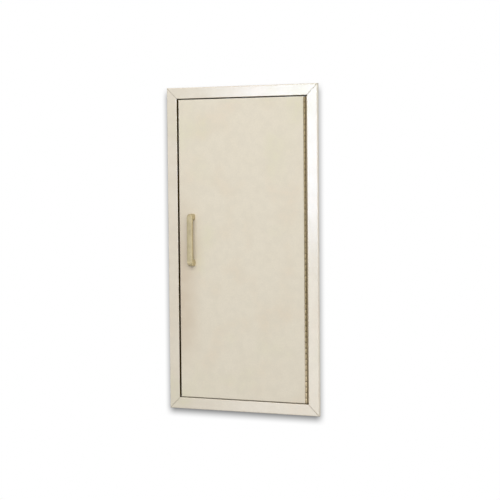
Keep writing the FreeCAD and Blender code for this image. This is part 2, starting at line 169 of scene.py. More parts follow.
def enamel(name, colour, roughness, low, high, cloudiness=1.0, shaded_gap_wall=None, mitre=None, soiled=None):
    """Sprayed and baked enamel: faintly pink and green clouds, orange peel, and pale edges of a box,
    partly rubbed wear and partly a painted highlight along the bends.

    The gap wall argument is an axis, a coordinate and a depth: the wall that faces the gap round the
    door, and how far behind the face a painted shade starts on it, a dull, metallic dark brown that
    stands for the shade deep in the gap.
    mitre is a frame's half width, mid height and half height: dust lies along its corner seams.
    soiled is an edge's X, a reach from it and four heights: hands have left a browner tone there,
    which fades in between the first two heights and out between the last two."""
    material, tree, shader, where = finish_of(name)
    split = node(tree, "ShaderNodeSeparateXYZ", {0: where})
    base = np.array(colour)
    pink = blend(tree, patches(tree, where, PINK_PATCH, 0.48, 0.72, 0.0, cloudiness, detail=2.0),
                 colour, base * PINKISH)
    green = blend(tree, patches(tree, where, GREEN_PATCH, 0.50, 0.75, 0.0, cloudiness, detail=2.0,
                                offset=7.3), pink, base * GREENISH)
    mottled = blend(tree, patches(tree, where, MOTTLE, 0.35, 0.7, 0.0, 0.55 * cloudiness, offset=9.2),
                    green, base * MOTTLED)
    speckled = blend(tree, patches(tree, where, SPECKLE, 0.3, 0.7, 0.0, 0.25 * cloudiness),
                     mottled, base * SPECKLED)
    # Pale edges: partly rubbed wear, partly a painted highlight along the bends
    rubbed_and_painted_light = product(tree, ramp(tree, edge_distance(tree, where, low, high), RUBBED_AND_HIGHLIT_EDGE, RUBBED_AND_HIGHLIT_EDGE * 0.2),
                   patches(tree, where, RUB_AND_HIGHLIGHT_PATCH, 0.30, 0.62, 0.25, 1.0, offset=2.1))
    tone = blend(tree, rubbed_and_painted_light, speckled, np.minimum(base * RUBBED_AND_HIGHLIT_PALE, LIGHTEST))
    dull = patches(tree, where, DULL_PATCH, 0.3, 0.7, roughness - 0.03, roughness + 0.04, offset=4.4)
    if mitre:
        half_x, mid_z, half_z = mitre
        uneven = maths(tree, "SUBTRACT", away(tree, split.outputs[2], mid_z),
                       maths(tree, "ABSOLUTE", split.outputs[0]))
        dust = ramp(tree, away(tree, uneven, half_z - half_x), *SEAM_REACH, 0.0, 0.5)
        tone = blend(tree, dust, tone, base * DUSTY)
        dull = maths(tree, "MAXIMUM", dull, dust)
    if soiled:
        edge_x, reach, heights = soiled
        touched = product(tree, ramp(tree, split.outputs[2], heights[0], heights[1]),
                          ramp(tree, split.outputs[2], heights[3], heights[2]),
                          ramp(tree, split.outputs[0], edge_x + reach, edge_x),
                          patches(tree, where, HAND_PATCH, 0.3, 0.6, 0.75, 1.0, detail=4.0, offset=8.6))
        tone = blend(tree, touched, tone, base * HANDLED)
    # Painted shade: behind the face, the gap wall turns a dull, metallic dark brown that stands for the
    # shade deep in the door gap
    if shaded_gap_wall:
        axis, at, depth = shaded_gap_wall
        in_gap_shade = product(tree, ramp(tree, away(tree, split.outputs[axis], at), *JAMB_REACH),
                         ramp(tree, split.outputs[1], low[1] + depth, low[1] + GAP_SHADE_FADE * depth))
        gap_shade = blend(tree, patches(tree, where, GAP_SHADE_PATCH, 0.35, 0.70, detail=4.0, offset=5.9),
                        GAP_SHADE_BROWN, 2.0 * GAP_SHADE_BROWN)
        tone = blend(tree, in_gap_shade, tone, gap_shade)
        dull = maths(tree, "MAXIMUM", dull, product(tree, in_gap_shade, GAP_SHADE_ROUGHNESS))
        tree.links.new(in_gap_shade, shader.inputs["Metallic"])
    tree.links.new(tone, shader.inputs["Base Color"])
    tree.links.new(dull, shader.inputs["Roughness"])
    peel = node(tree, "ShaderNodeBump", {"Strength": 0.12, "Distance": 0.0002,
                                         "Height": cloud(tree, where, ORANGE_PEEL, 1.0)})
    tree.links.new(peel.outputs[0], shader.inputs["Normal"])
    return material


def wear(piece, material):
    """Gives a piece its one material, also where a CAD node brings slots of its own."""
    piece.data.materials.clear()
    piece.data.materials.append(material)


SHARP_FROM = math.radians(40)


def skin(name, rings, body, material, worn_and_lit=None):
    """Closed skins over rings of points, an array of copies x rings x points x 3.

    Each ring's points join those of the next one, and a flat cap closes the first and last ring.
    The last argument is worn metal from 0 to 1, one value for each point; on the pull it also holds painted
    light."""
    rings = np.asarray(rings, float)
    copies, count, around = rings.shape[:3]
    index = np.arange(copies * count * around).reshape(copies, count, around)
    ahead = np.roll(index, -1, axis=2)
    sides = np.stack([index[:, :-1], ahead[:, :-1], ahead[:, 1:], index[:, 1:]], -1).reshape(-1, 4)
    caps = np.concatenate([index[:, 0, ::-1], index[:, -1]])
    mesh = bpy.data.meshes.new(name)
    mesh.from_pydata(rings.reshape(-1, 3), [], sides.tolist() + caps.tolist())
    worked = bmesh.new()
    worked.from_mesh(mesh)
    bmesh.ops.recalc_face_normals(worked, faces=worked.faces)
    worked.to_mesh(mesh)
    worked.free()
    mesh.polygons.foreach_set("use_smooth", np.ones(len(mesh.polygons), bool))
    mesh.set_sharp_from_angle(angle=SHARP_FROM)
    if worn_and_lit is not None:
        values = mesh.attributes.new("worn_and_lit", "FLOAT", "POINT")
        values.data.foreach_set("value", np.broadcast_to(worn_and_lit, rings.shape[:3]).ravel().astype(np.float32))
    piece = bpy.data.objects.new(name, mesh)
    bpy.context.scene.collection.objects.link(piece)
    wear(piece, material)
    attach(piece, body)
    return piece


def turned(profile, centres, outward, steps=28):
    """Rings of a solid of revolution: each profile pair is a radius and a height along outward."""
    profile, outward = np.asarray(profile, float), np.asarray(outward, float)
    across = np.cross(outward, (0.0, 0.0, 1.0) if abs(outward[2]) < 0.9 else (1.0, 0.0, 0.0))
    across /= np.linalg.norm(across)
    angle = np.linspace(0, 2 * math.pi, steps, endpoint=False)
    spokes = np.cos(angle)[:, None] * across + np.sin(angle)[:, None] * np.cross(outward, across)
    rings = profile[:, 0, None, None] * spokes + profile[:, 1, None, None] * outward
    return np.asarray(centres, float)[:, None, None, :] + rings


# The mark that a welding electrode leaves, as radius and height: a ring pressed up round a dimple
WELD_MARK = np.array([(0.0034, -0.0002), (0.0033, 0.00002), (0.0028, 0.00016), (0.0023, 0.00022),
                      (0.0019, 0.00012), (0.0010, 0.00004), (0.0002, 0.00003)])
TUB_COLOUR, TUB_ROUGHNESS, TUB_CLOUDINESS = (0.70, 0.655, 0.545), 0.50, 0.6
SEAM_INSET = 0.0062
SIDE_MARK_DEPTHS = np.linspace(0.030, 0.126, 4)
BACK_MARK_WIDTHS = np.linspace(-0.125, 0.125, 6)
# A drop of weld closes the notch between the two folds of each rear corner: half an ellipse, turned
DROP_RADIUS, DROP_RISE = 0.0023, 0.0016
DROP_INSET_X, DROP_INSET_Y, DROP_OVERLAP = 0.0018, 0.0024, 0.0005
tilt = np.linspace(-1.4, 1.4, 11)
weld_drop = np.stack([DROP_RADIUS * np.cos(tilt), DROP_RISE * np.sin(tilt)], -1)

tub_low, tub_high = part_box("tub_wrapper")
tub_paint = enamel("tub_cream_coat", TUB_COLOUR, TUB_ROUGHNESS, tub_low, tub_high, TUB_CLOUDINESS)
for name in ("tub_wrapper", "tub_top_panel", "tub_bottom_panel"):
    wear(nodes[name], tub_paint)
for panel, up in (("tub_top_panel", -1), ("tub_bottom_panel", 1)):
    low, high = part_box(panel)
    seam_z = tub_high.z - SEAM_INSET if up < 0 else tub_low.z + SEAM_INSET
    marks = [turned(WELD_MARK, [(x, y, seam_z) for y in SIDE_MARK_DEPTHS], (side, 0, 0))
             for side, x in ((-1, low.x), (1, high.x))]
    marks.append(turned(WELD_MARK, [(x, high.y, seam_z) for x in BACK_MARK_WIDTHS], (0, 1, 0)))
    skin(panel + "_weld_marks", np.concatenate(marks), "cabinet", tub_paint)
    drop_z = seam_z - up * (SEAM_INSET + DROP_OVERLAP)
    rear = [(side * (high.x - DROP_INSET_X), high.y - DROP_INSET_Y, drop_z) for side in (-1, 1)]
    skin(panel + "_corner_welds", turned(weld_drop, rear, (0, 0, 1)), "cabinet", tub_paint)


# Trim: four lengths of sheet folded to a return, face, jamb and door stop, mitred at the corners,
# welded behind and sprayed with a semi-gloss enamel. The stop is spot welded to the tub's flanges.
FACE_WIDTH = 0.0264
TRIM_COLOUR, TRIM_ROUGHNESS = (0.722, 0.655, 0.540), 0.155
# How far behind the face the painted shade in the door gap starts; the bottom rail has none
GAP_SHADE_FROM = 0.0003
LEFT_GAP_SHADE_FROM = 0.00015
trim_low, trim_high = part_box("trim_left_stile")
half_height = (trim_high.z - trim_low.z) / 2
corners = (-trim_low.x, trim_low.z + half_height, half_height)
for name in ("trim_left_stile", "trim_right_stile", "trim_top_rail", "trim_bottom_rail"):
    low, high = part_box(name)
    face_low, face_high = low.copy(), high.copy()
    if name == "trim_left_stile":
        face_high.x = low.x + FACE_WIDTH
        jamb = (0, face_high.x, LEFT_GAP_SHADE_FROM)
    elif name == "trim_right_stile":
        face_low.x = high.x - FACE_WIDTH
        jamb = (0, face_low.x, GAP_SHADE_FROM)
    elif name == "trim_top_rail":
        face_low.z = high.z - FACE_WIDTH
        jamb = (2, face_low.z, GAP_SHADE_FROM)
    else:
        face_high.z = low.z + FACE_WIDTH
        jamb = None
    wear(nodes[name], enamel(name + "_enamel", TRIM_COLOUR, TRIM_ROUGHNESS, face_low, face_high,
                             shaded_gap_wall=jamb, mitre=corners))

# The welds that hold the stop to the tub show on its front, along the line of the bumpers
STOP_HEIGHTS = (0.131, 0.206, 0.281, 0.356, 0.431, 0.506, 0.581)
STOP_WIDTHS = np.linspace(-0.12, 0.12, 4)
STOP_MARK_INSET = 0.006
MARK_ROUGHNESS = 0.2
bumper_low, bumper_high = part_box("door_bumper_lower")
stop_y = bumper_high.y
stop_x = (bumper_low.x + bumper_high.x) / 2
stop_rows = (trim_low.z + FACE_WIDTH + STOP_MARK_INSET, trim_high.z - FACE_WIDTH - STOP_MARK_INSET)
stop_marks = [(side * stop_x, stop_y, z) for side in (-1, 1) for z in STOP_HEIGHTS]
stop_marks += [(x, stop_y, z) for x in STOP_WIDTHS for z in stop_rows]
trim_marks_paint = enamel("stop_weld_mark_enamel", TRIM_COLOUR, MARK_ROUGHNESS, trim_low, trim_high)
skin("stop_weld_marks", turned(WELD_MARK, stop_marks, (0, -1, 0)), "cabinet", trim_marks_paint)


# Corner braces: flat L plates behind the mitres, each held by a short fillet weld across the end
# of its two legs. Paint covers plates and beads alike.
def bead(start, end, radius, ripples=9, steps=55, around=12, swell=0.14):
    """Weld bead: a round profile carried along a line from start to end.

    Its radius swells with every ripple, by the swell times the size of a sine, and closes at both
    ends as the root of 1 less the twelfth power of the way from the middle."""
    start, end = np.asarray(start, float), np.asarray(end, float)
    along = (end - start) / np.linalg.norm(end - start)
    s = np.linspace(0, 1, steps)
    ends = np.sqrt(np.clip(1 - (2 * s - 1) ** 12, 0.02, 1))
    size = radius * ends * (1 - swell + swell * np.abs(np.sin(math.pi * ripples * s)))
    angle = np.linspace(0, 2 * math.pi, around, endpoint=False)
    up = np.array((0.0, 1.0, 0.0))
    spokes = np.cos(angle)[:, None] * up + np.sin(angle)[:, None] * np.cross(along, up)
    return (start + s[:, None] * (end - start))[:, None, :] + size[:, None, None] * spokes


BRACE_ROUGHNESS = 0.3
BEAD_RADIUS = 0.0017
BEAD_DEPTH = 0.0010
BEAD_START, BEAD_END = 0.002, 0.0215
beads = []
for name in ("top_left", "top_right", "bottom_left", "bottom_right"):
    low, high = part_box("corner_brace_" + name)
    wear(nodes["corner_brace_" + name],
         enamel("brace_enamel_" + name, TRIM_COLOUR, BRACE_ROUGHNESS, low, high))
    inner_x = low.x if "right" in name else high.x
    inner_z = low.z if "top" in name else high.z
    outer_x, side = (high.x, -1) if "right" in name else (low.x, 1)
    outer_z, up = (high.z, -1) if "top" in name else (low.z, 1)
    bead_y = low.y + BEAD_DEPTH
    beads.append(bead((inner_x, bead_y, outer_z + up * BEAD_START),
                      (inner_x, bead_y, outer_z + up * BEAD_END), BEAD_RADIUS))
    beads.append(bead((outer_x + side * BEAD_START, bead_y, inner_z),
                      (outer_x + side * BEAD_END, bead_y, inner_z), BEAD_RADIUS))
skin("corner_brace_welds", beads, "cabinet", trim_marks_paint)


# Continuous hinge: each leaf is a strip of steel whose knuckles are rolled round one long pin,
# and both are riveted on, to the door's edge and, over a packing strip, to the trim's jamb.
# The next values are its metal's tones, as factors on its own colour, and the brightest it gets.
HAZY = 0.86
SCRATCHED = 0.80
# The lightest tone, for rubbed metal and for painted light on the pull
WORN_AND_LIT_BRIGHT = 1.35
BRIGHTEST = 0.95
# A painted highlight that lightens the hinge's lower front
LOWER_HIGHLIGHT_TONE = (1.75, 1.8, 2.2)
GRIMY = (0.34, 0.30, 0.24)
# Sizes of its scratches, across, of its patches, and of the way over which its grime ends
SCRATCH = 0.0005
HAZE_PATCH, WORN_AND_LIT_PATCH, LOWER_HIGHLIGHT_PATCH, SATIN_PATCH = 0.012, 0.006, 0.010, 0.02
GRIME_FADE = 0.0005


def satin_metal(name, colour, roughness, grain, low, high, rub=0.0006, metallic=1.0, seams=None,
                bright=None):
    """Brushed or drawn metal: long fine scratches, hazy tone, and brighter metal where it is rubbed,
    and where the point attribute adds painted light.

    seams are a height, a spacing and a depth: grime lies along the seams that cross Z from that
    height up, only in front of that depth.
    bright is two heights and two depths: from the first down to the second height, and from the
    first out to the second depth, the metal grows lighter, a painted highlight."""
    material, tree, shader, where = finish_of(name)
    split = node(tree, "ShaderNodeSeparateXYZ", {0: where})
    shader.inputs["Metallic"].default_value = metallic
    base = np.array(colour)
    scratches = cloud(tree, where, SCRATCH, 2.0, stretch=grain)
    haze = blend(tree, patches(tree, where, HAZE_PATCH, 0.35, 0.70), colour, base * HAZY)
    lined = blend(tree, ramp(tree, scratches, 0.40, 0.75, 0.0, 0.35), haze, base * SCRATCHED)
    attribute_wear_and_light = node(tree, "ShaderNodeAttribute", attribute_name="worn_and_lit").outputs["Fac"]
    edges = maths(tree, "MAXIMUM", attribute_wear_and_light, ramp(tree, edge_distance(tree, where, low, high), rub, 0.0))
    rubbed_and_painted_light = product(tree, edges, patches(tree, where, WORN_AND_LIT_PATCH, 0.3, 0.6, 0.3, 1.0, offset=3.7))
    tone = blend(tree, rubbed_and_painted_light, lined, np.minimum(base * WORN_AND_LIT_BRIGHT, BRIGHTEST))
    # Painted highlight: lighter towards the bottom, on the side towards the room
    if bright:
        upper_z, lower_z, inner_y, outer_y = bright
        lower_highlight = product(tree, ramp(tree, split.outputs[2], upper_z, lower_z),
                        ramp(tree, split.outputs[1], inner_y, outer_y),
                        patches(tree, where, LOWER_HIGHLIGHT_PATCH, 0.25, 0.6, 0.7, 1.0, offset=6.3))
        tone = blend(tree, lower_highlight, tone, base * LOWER_HIGHLIGHT_TONE)
    if seams:
        start, spacing, behind = seams
        past_seam = maths(tree, "SUBTRACT", split.outputs[2], start - spacing)
        off_seam = maths(tree, "PINGPONG", past_seam, spacing / 2)
        grime = product(tree, ramp(tree, off_seam, *SEAM_REACH, 0.0, 0.6),
                        ramp(tree, split.outputs[1], behind, behind - GRIME_FADE))
        tone = blend(tree, grime, tone, base * GRIMY)
    tree.links.new(tone, shader.inputs["Base Color"])
    hazy = patches(tree, where, SATIN_PATCH, 0.3, 0.7, roughness - 0.05, roughness + 0.07, offset=1.9)
    tree.links.new(hazy, shader.inputs["Roughness"])
    lines = node(tree, "ShaderNodeBump", {"Strength": 0.15, "Distance": 0.0001, "Height": scratches})
    tree.links.new(lines.outputs[0], shader.inputs["Normal"])
    return material


def rounded_rectangle(width, height, radius, steps=3):
    """Points round a rectangle about the origin whose corners are quarter circles."""
    turn = np.linspace(0, math.pi / 2, steps)
    quarters = turn + (math.pi / 2) * np.arange(4)[:, None]
    signs = np.array([(1, 1), (-1, 1), (-1, -1), (1, -1)])
    centres = signs * (width / 2 - radius, height / 2 - radius)
    arcs = np.stack([np.cos(quarters), np.sin(quarters)], -1) * radius
    return (centres[:, None, :] + arcs).reshape(-1, 2)


def carried(path, thick, profile, span):
    """Profile carried along a path in the X-Y plane: its first value runs along thick, its second along Z.

    path and thick are points and unit sideways directions, span the heights of the copies."""
    flat = path[:, None, :] + profile[None, :, 0, None] * thick[:, None, :]
    rings = np.concatenate([flat, np.broadcast_to(profile[None, :, 1, None], flat.shape[:2] + (1,))], -1)
    return rings[None] + np.stack([np.zeros_like(span), np.zeros_like(span), span], -1)[:, None, None, :]


KNUCKLES = 55
KNUCKLE_GAP = 0.0003
CURL = math.radians(280)
LEAF_SHEET = 0.0011
SHEET_EDGE = 0.0002
CURL_ALLOWANCE = 0.00003
PLATE_CLEARANCE = 0.00065
STRAIGHT_START, STRAIGHT_END = 0.0008, 0.0004
END_CHAMFER, END_SHRINK = 0.0003, 0.85
HINGE_COLOUR, HINGE_ROUGHNESS, HINGE_METALLIC = (0.28, 0.22, 0.117), 0.5, 0.6
# Dull brown for the packing strip: a painted shade in the gap beside the knuckles
GAP_STRIP_SHADE_COLOUR, GAP_STRIP_SHADE_ROUGHNESS = (0.40, 0.32, 0.20), 0.6
# Where the hinge's painted highlight lies: two heights, and two depths from the pin
BRIGHT_HEIGHTS = (0.215, 0.07)
BRIGHT_INNER, BRIGHT_OUTER = 0.0008, 0.0012
pin_low, pin_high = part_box("hinge_pin")
axis_x, axis_y = (pin_low.x + pin_high.x) / 2, (pin_low.y + pin_high.y) / 2
pitch = (pin_high.z - pin_low.z) / KNUCKLES
hinge_steel = satin_metal("hinge_drawn_steel", HINGE_COLOUR, HINGE_ROUGHNESS, (1, 1, 40), pin_low, pin_high,
                          metallic=HINGE_METALLIC,
                          seams=(pin_low.z, pitch, 2 * axis_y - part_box("hinge_frame_leaf")[0].y),
                          bright=(*BRIGHT_HEIGHTS, axis_y + BRIGHT_INNER, axis_y - BRIGHT_OUTER))


def hinge_leaf(node_name, side, body, first):
    """Leaf plate and its knuckles: a knuckle's path runs straight out of the plate, then round the pin.

    The plate is one long rounded bar, a little narrower at its two ends."""
    low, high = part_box(node_name)
    radius = axis_y - low.y
    middle = radius - LEAF_SHEET / 2
    plate_start = axis_y + radius + PLATE_CLEARANCE
    straight = np.array([(middle, plate_start - axis_y + STRAIGHT_START), (middle, STRAIGHT_END)])
    angle = np.linspace(0, CURL, 30)
    arc = middle * np.stack([np.cos(angle), -np.sin(angle)], -1)
    path = np.concatenate([straight, arc])
    thick = np.concatenate([[(1.0, 0.0), (1.0, 0.0)], arc / middle])
    flip = np.array([side, 1.0])
    path, thick = path * flip + (axis_x, axis_y), thick * flip
    profile = rounded_rectangle(LEAF_SHEET - CURL_ALLOWANCE, pitch - KNUCKLE_GAP, SHEET_EDGE)
    own = pin_low.z + pitch * (np.arange(first, KNUCKLES, 2) + 0.5)
    knuckles = skin(node_name + "_knuckles", carried(path, thick, profile, own), body,
                    hinge_steel)
    ring = rounded_rectangle(LEAF_SHEET, high.y - plate_start, SHEET_EDGE)
    ring = ring + (axis_x + side * middle, (high.y + plate_start) / 2)
    heights = np.array([low.z, low.z + END_CHAMFER, high.z - END_CHAMFER, high.z])
    shrunk = np.array([END_SHRINK, 1.0, 1.0, END_SHRINK])[:, None, None]
    centre = ring.mean(0)
    rings = np.concatenate([centre + (ring - centre)[None] * shrunk,
                            np.broadcast_to(heights[:, None, None], (4, len(ring), 1))], -1)
    plate = skin(node_name + "_plate", rings[None], body, hinge_steel)
    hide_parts(node_name)
    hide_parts(node_name)
    return low, high, plate_start


# Rivet heads, a flattened dome: radius and height. The door's are half a spacing above the frame's
RIVET = [(0.0024, -0.0002), (0.0024, 0.00018), (0.0022, 0.00042), (0.0018, 0.00062), (0.0012, 0.00076),
         (0.0005, 0.00082), (0.0001, 0.00083)]
RIVET_SPACING = 0.0889
FIRST_RIVET = 0.3
RIVET_END_MARGIN = 0.01
for leaf, side, body, first, shift in (("hinge_frame_leaf", 1, "cabinet", 0, 0.0),
                                       ("hinge_door_leaf", -1, "door", 1, 0.5)):
    low, high, plate_start = hinge_leaf(leaf, side, body, first)
    own = np.arange(low.z + (FIRST_RIVET + shift) * RIVET_SPACING, high.z - RIVET_END_MARGIN, RIVET_SPACING)
    inner_x = axis_x + side * (axis_y - low.y - LEAF_SHEET)
    places = [(inner_x, (plate_start + high.y) / 2, z) for z in own]
    skin(leaf + "_rivets", turned(RIVET, places, (-side, 0, 0)), body, hinge_steel)
wear(nodes["hinge_pin"], hinge_steel)
# The packing strip is painted dull brown, a painted shade for the gap beside the knuckles
low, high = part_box("hinge_packing_strip")
wear(nodes["hinge_packing_strip"],
     enamel("packing_strip_painted_shade", GAP_STRIP_SHADE_COLOUR, GAP_STRIP_SHADE_ROUGHNESS, low, high))


# Door: a face pan of sheet steel with a back panel folded to fit inside its walls, both sprayed
# with the same enamel as the trim, but flatted to a soft satin. Hands soil it near the pull.
DOOR_COLOUR, DOOR_ROUGHNESS = (0.725, 0.661, 0.535), 0.62
DOOR_BACK_COLOUR, DOOR_BACK_ROUGHNESS = (0.705, 0.645, 0.522), 0.6
HAND_REACH = 0.070
HAND_HEIGHTS = (-0.33, -0.19, -0.10, 0.20)
low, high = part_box("door_face_pan")
pull_low, pull_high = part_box("pull_handle")
pull_z = (pull_low.z + pull_high.z) / 2
soiled = (low.x, HAND_REACH, [pull_z + rise for rise in HAND_HEIGHTS])
wear(nodes["door_face_pan"],
     enamel("door_satin_enamel", DOOR_COLOUR, DOOR_ROUGHNESS, low, high, soiled=soiled))
low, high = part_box("door_back_panel")
wear(nodes["door_back_panel"],
     enamel("door_back_enamel", DOOR_BACK_COLOUR, DOOR_BACK_ROUGHNESS, low, high))


# Pull: one solid casting, a flat bar on two square feet with every outer edge rounded over,
# given a satin champagne finish. Two screws hold it from inside the door.
def superellipse(power, steps):
    """Points round the unit square with rounded corners: x to the power plus y to the power is 1."""
    angle = np.linspace(0, 2 * math.pi, steps, endpoint=False) + math.pi / steps
    c, s = np.cos(angle), np.sin(angle)
    return np.sign(c) * np.abs(c) ** (2 / power), np.sign(s) * np.abs(s) ** (2 / power)


def side_line(foot_z, bar_y, radius, counts):
    """One side of the pull's C: out from the door, round a quarter circle, along, round and back."""
    out = np.linspace(0.0, bar_y + radius, counts[0], endpoint=False)
    turn = np.linspace(0, math.pi / 2, counts[1], endpoint=False)
    run = np.linspace(foot_z - radius, 0.0, counts[2])
    leg = np.stack([out, np.full_like(out, foot_z)], -1)
    bend = np.stack([bar_y + radius - radius * np.sin(turn), foot_z - radius + radius * np.cos(turn)], -1)
    bar = np.stack([np.full_like(run, bar_y), run], -1)
    upper = np.concatenate([leg, bend, bar])
    return np.concatenate([upper, upper[-2::-1] * (1, -1)])


def rise_of(value, start, width):
    """Runs straight from 0 at start to 1 at start plus width."""
    return np.clip((value - start) / width, 0, 1)


FOOT = 0.015
BAR = 0.008
OUTER_RADIUS = 0.009
INNER_RADIUS = 0.005
SQUARENESS = 4.2
POINTS_AROUND = 48
POINTS_ALONG = (8, 14, 24)
low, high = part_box("pull_handle")
half = (high.z - low.z) / 2
outer = side_line(half, low.y - high.y, OUTER_RADIUS, POINTS_ALONG)
inner = side_line(half - FOOT, low.y - high.y + BAR, INNER_RADIUS, POINTS_ALONG)
round_x, round_t = superellipse(SQUARENESS, POINTS_AROUND)
centre_line, reach = (outer + inner) / 2, (outer - inner) / 2
section = centre_line[:, None, :] + round_t[None, :, None] * reach[:, None, :]
wide = np.broadcast_to(round_x * (high.x - low.x) / 2, section.shape[:2])
door_point = ((low.x + high.x) / 2, high.y, (low.z + high.z) / 2)
pull_rings = np.concatenate([wide[..., None], section], -1) + door_point

# Fingers hook round the free side, so that edge is rubbed most; the two flat sides and the lower
# end are lightened as painted light, where they stand in shade
FREE_EDGE_WEAR, HINGE_EDGE_WEAR, SIDE_PAINTED_LIGHT, END_PAINTED_LIGHT = 0.5, 0.1, 0.75, 0.9
# Where across the section each kind starts and how fast it grows, and the same along the pull, in metres
EDGE_STARTS, SIDE_STARTS, END_STARTS = (0.55, 0.25), (0.80, 0.15), (0.2, 0.4)
ABOVE_FOOT, FOOT_FADE = 0.004, 0.006
corner = rise_of(np.abs(round_x * round_t), *EDGE_STARTS) * (round_t > 0)
edge_wear = np.where(round_x < 0, FREE_EDGE_WEAR, HINGE_EDGE_WEAR) * corner
# Painted light: the flat sides and the lower end are made lighter where they stand in shade
side_painted_light = SIDE_PAINTED_LIGHT * rise_of(np.abs(round_x), *SIDE_STARTS)
lower_foot = rise_of(-centre_line[:, 1], half - FOOT - ABOVE_FOOT, FOOT_FADE)[:, None]
end_painted_light = END_PAINTED_LIGHT * lower_foot * rise_of(round_t, *END_STARTS)
# A box far from the pull, because its wear and painted light follow the attribute alone
NO_BOX = ((9, 9, 9), (10, 10, 10))
PULL_COLOUR, PULL_ROUGHNESS, PULL_METALLIC = (0.435, 0.365, 0.214), 0.58, 0.3
pull_metal = satin_metal("pull_satin_champagne", PULL_COLOUR, PULL_ROUGHNESS, (1, 1, 60), *NO_BOX,
                         metallic=PULL_METALLIC)
pull = skin("pull_satin_casting", pull_rings[None], "door", pull_metal,
            np.clip(edge_wear + side_painted_light + end_painted_light, 0, 1))
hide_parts("pull_handle")


# Roller catch: a folded zinc-plated bracket screwed to the tub's side with two nylon rollers on
# steel axles, and a strike on the door whose bulb is gripped between them.
def cross_head(centres, outward, radius, height, steps=48, rows=16):
    """Pan head: height falls as an ellipse over the radius, less a cross-shaped recess at its middle.

    rim is the share of the height that the edge has, recess the share that the cross is deep."""
    rim, flatness, recess, sunk = 0.45, 2.6, 0.62, 0.0002
    arm_half_width, side_slope, arm_length, end_slope = 0.17, 0.08, 0.62, 0.12
    outward = np.asarray(outward, float)
    across = np.cross(outward, (0.0, 0.0, 1.0))
    up = np.cross(outward, across)
    r = np.concatenate([[1.0], np.linspace(1.0, 0.01, rows)]) * radius
    angle = np.linspace(0, 2 * math.pi, steps, endpoint=False)
    x, y = r[:, None] * np.cos(angle), r[:, None] * np.sin(angle)
    falls = np.sqrt(np.clip(1 - (r / radius) ** flatness, 0, 1))
    dome = height * (rim + (1 - rim) * falls)[:, None] + 0 * x
    narrow, long = np.minimum(np.abs(x), np.abs(y)), np.maximum(np.abs(x), np.abs(y))
    in_cross = np.clip((arm_half_width * radius - narrow) / (side_slope * radius), 0, 1)
    in_cross = in_cross * np.clip((arm_length * radius - long) / (end_slope * radius), 0, 1)
    rise = dome - recess * height * in_cross
    rise[0] = -sunk
    shape = x[..., None] * across + y[..., None] * up + rise[..., None] * outward
    return np.asarray(centres, float)[:, None, None, :] + shape


CATCH_SHEET = 0.0012
ZINC_COLOUR = (0.46, 0.46, 0.445)
ZINC_RUB = 0.0005
BRACKET_ROUGHNESS, STRIKE_ROUGHNESS = 0.38, 0.40
AXLE_COLOUR, AXLE_ROUGHNESS = (0.50, 0.50, 0.49), 0.28
# Each screw head's radius and height, and the places of the screws
BRACKET_SCREW, STRIKE_SCREW = (0.0027, 0.0016), (0.0022, 0.0013)
BRACKET_SCREW_RISE = 0.016
STRIKE_SCREW_INSETS = (0.0045, 0.0125)
low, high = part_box("catch_bracket")
catch_mid_z = (low.z + high.z) / 2
zinc = satin_metal("catch_bright_zinc", ZINC_COLOUR, BRACKET_ROUGHNESS, (1, 1, 4), low, high, ZINC_RUB)
wear(nodes["catch_bracket"], zinc)
bracket_screws = [(low.x + CATCH_SHEET, (low.y + high.y) / 2, catch_mid_z + rise)
                  for rise in (-BRACKET_SCREW_RISE, BRACKET_SCREW_RISE)]
skin("catch_bracket_screws", cross_head(bracket_screws, (1, 0, 0), *BRACKET_SCREW), "cabinet",
     zinc)
low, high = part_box("catch_strike")
wear(nodes["catch_strike"],
     satin_metal("strike_bright_zinc", ZINC_COLOUR, STRIKE_ROUGHNESS, (4, 1, 1), low, high, ZINC_RUB))
strike_screws = [(high.x - inset, low.y + CATCH_SHEET, catch_mid_z) for inset in STRIKE_SCREW_INSETS]
skin("catch_strike_screws", cross_head(strike_screws, (0, 1, 0), *STRIKE_SCREW), "door",
     zinc)
low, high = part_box("catch_axles")
wear(nodes["catch_axles"],
     satin_metal("axle_ground_steel", AXLE_COLOUR, AXLE_ROUGHNESS, (6, 1, 1), low, high))


MOULDED_DARKER = 0.82
TONE_PATCH, MATT_PATCH = 0.004, 0.002


def moulded(name, colour, roughness, grain_size, depth):
    """Moulded nylon or rubber: a slightly uneven tone and a fine grain, dulled in patches."""
    material, tree, shader, where = finish_of(name)
    darker = np.array(colour) * MOULDED_DARKER
    tree.links.new(blend(tree, patches(tree, where, TONE_PATCH, 0.3, 0.7), colour, darker),
                   shader.inputs["Base Color"])
    dull = patches(tree, where, MATT_PATCH, 0.3, 0.7, roughness - 0.06, roughness + 0.08, detail=2.0,
                   offset=5.1)
    tree.links.new(dull, shader.inputs["Roughness"])
    grain = node(tree, "ShaderNodeBump", {"Strength": 0.3, "Distance": depth,
                                          "Height": cloud(tree, where, grain_size, 2.0)})
    tree.links.new(grain.outputs[0], shader.inputs["Normal"])
    return material


NYLON_COLOUR, NYLON_ROUGHNESS = (0.78, 0.77, 0.72), 0.42
nylon = moulded("roller_white_nylon", NYLON_COLOUR, NYLON_ROUGHNESS, grain_size=0.0009, depth=0.00008)
for name in ("catch_upper_roller", "catch_lower_roller"):
    wear(nodes[name], nylon)


# Bumpers: two round buttons of moulded grey rubber, one near each end of the door's free side.
# Their own adhesive holds them to the stop, and the closing door meets them softly.
RUBBER_COLOUR, RUBBER_ROUGHNESS = (0.13, 0.125, 0.12), 0.75
rubber = moulded("bumper_grey_rubber", RUBBER_COLOUR, RUBBER_ROUGHNESS, grain_size=0.0006, depth=0.0001)
for name in ("door_bumper_upper", "door_bumper_lower"):
    wear(nodes[name], rubber)


